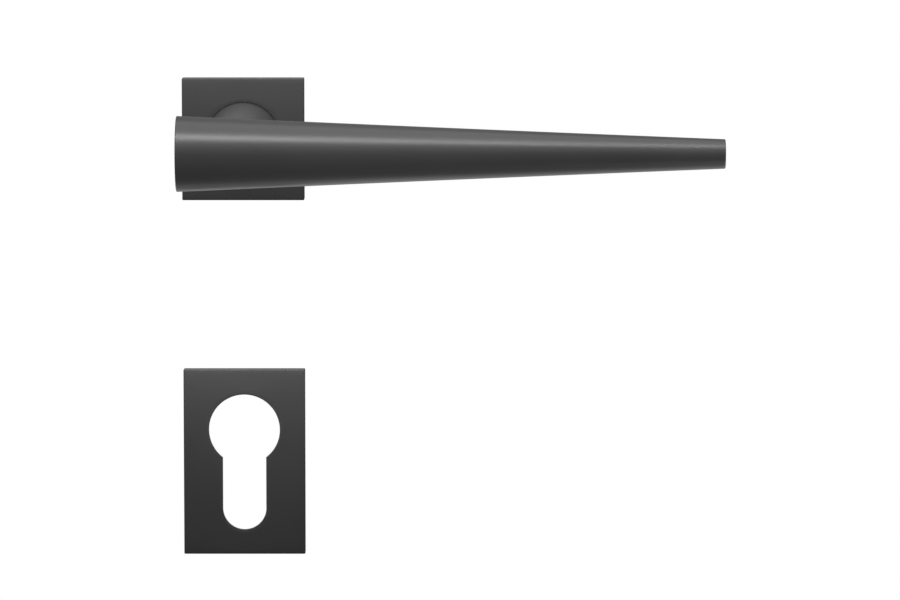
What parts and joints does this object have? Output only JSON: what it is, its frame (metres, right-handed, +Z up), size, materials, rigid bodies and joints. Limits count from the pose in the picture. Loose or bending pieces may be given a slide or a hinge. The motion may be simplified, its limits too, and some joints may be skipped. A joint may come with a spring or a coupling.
{
  "type": "door lever handle",
  "caption": "Conical door lever on a square sprung rose, with a rectangular plate for a profile cylinder below it, for one side of a door.",
  "frame": {"origin": "where the spindle axis crosses the face of the door", "axes": "+X along the grip towards its tip, +Y into the door along the spindle, +Z up; the room is on the -Y side"},
  "size_m": [0.131, 0.123, 0.118],
  "materials": {
    "lever_coating": "satin",
    "plate_coating": "satin",
    "cast_zinc": "matte",
    "zinc_plated_steel": "satin",
    "spring_steel": "satin",
    "black_oxide_steel": "satin",
    "bearing_nylon": "matte"
  },
  "bodies": {
    "fixed_plates": {"rose_base": "cast_zinc", "rose_screws": "zinc_plated_steel", "hub_bush": "bearing_nylon", "thrust_washer": "zinc_plated_steel", "return_spring": "spring_steel", "escutcheon_base": "cast_zinc", "escutcheon_screws": "zinc_plated_steel", "rose_clip_left": "spring_steel", "rose_clip_right": "spring_steel", "escutcheon_clip_upper_left": "spring_steel", "escutcheon_clip_upper_right": "spring_steel", "escutcheon_clip_lower_left": "spring_steel", "escutcheon_clip_lower_right": "spring_steel"},
    "lever": {"lever_grip": "lever_coating", "lever_neck": "lever_coating", "neck_stud": "black_oxide_steel", "grub_screw": "black_oxide_steel", "spindle": "zinc_plated_steel", "driver_disc": "zinc_plated_steel", "wave_washer": "spring_steel", "hub_ring": "black_oxide_steel", "driver_ring": "black_oxide_steel"},
    "rose_cover": {"rose_cover": "plate_coating"},
    "escutcheon_cover": {"escutcheon_cover": "plate_coating"}
  },
  "joints": [
    {"name": "lever_turn", "type": "hinge", "parent": "fixed_plates", "child": "lever", "pos_m": [0, 0, 0], "axis": [0, 1, 0], "range_deg": [0, 45], "stiffness_Nm_per_rad": 0.22, "springref_deg": -148.97, "deforming": ["return_spring"]},
    {"name": "rose_cover_slide", "type": "slide", "parent": "fixed_plates", "child": "rose_cover", "axis": [0, -1, 0], "range_m": [0, 0.03], "deforming": ["rose_clip_left", "rose_clip_right"]},
    {"name": "escutcheon_cover_slide", "type": "slide", "parent": "fixed_plates", "child": "escutcheon_cover", "axis": [0, -1, 0], "range_m": [0, 0.03], "deforming": ["escutcheon_clip_upper_left", "escutcheon_clip_upper_right", "escutcheon_clip_lower_left", "escutcheon_clip_lower_right"]}
  ]
}
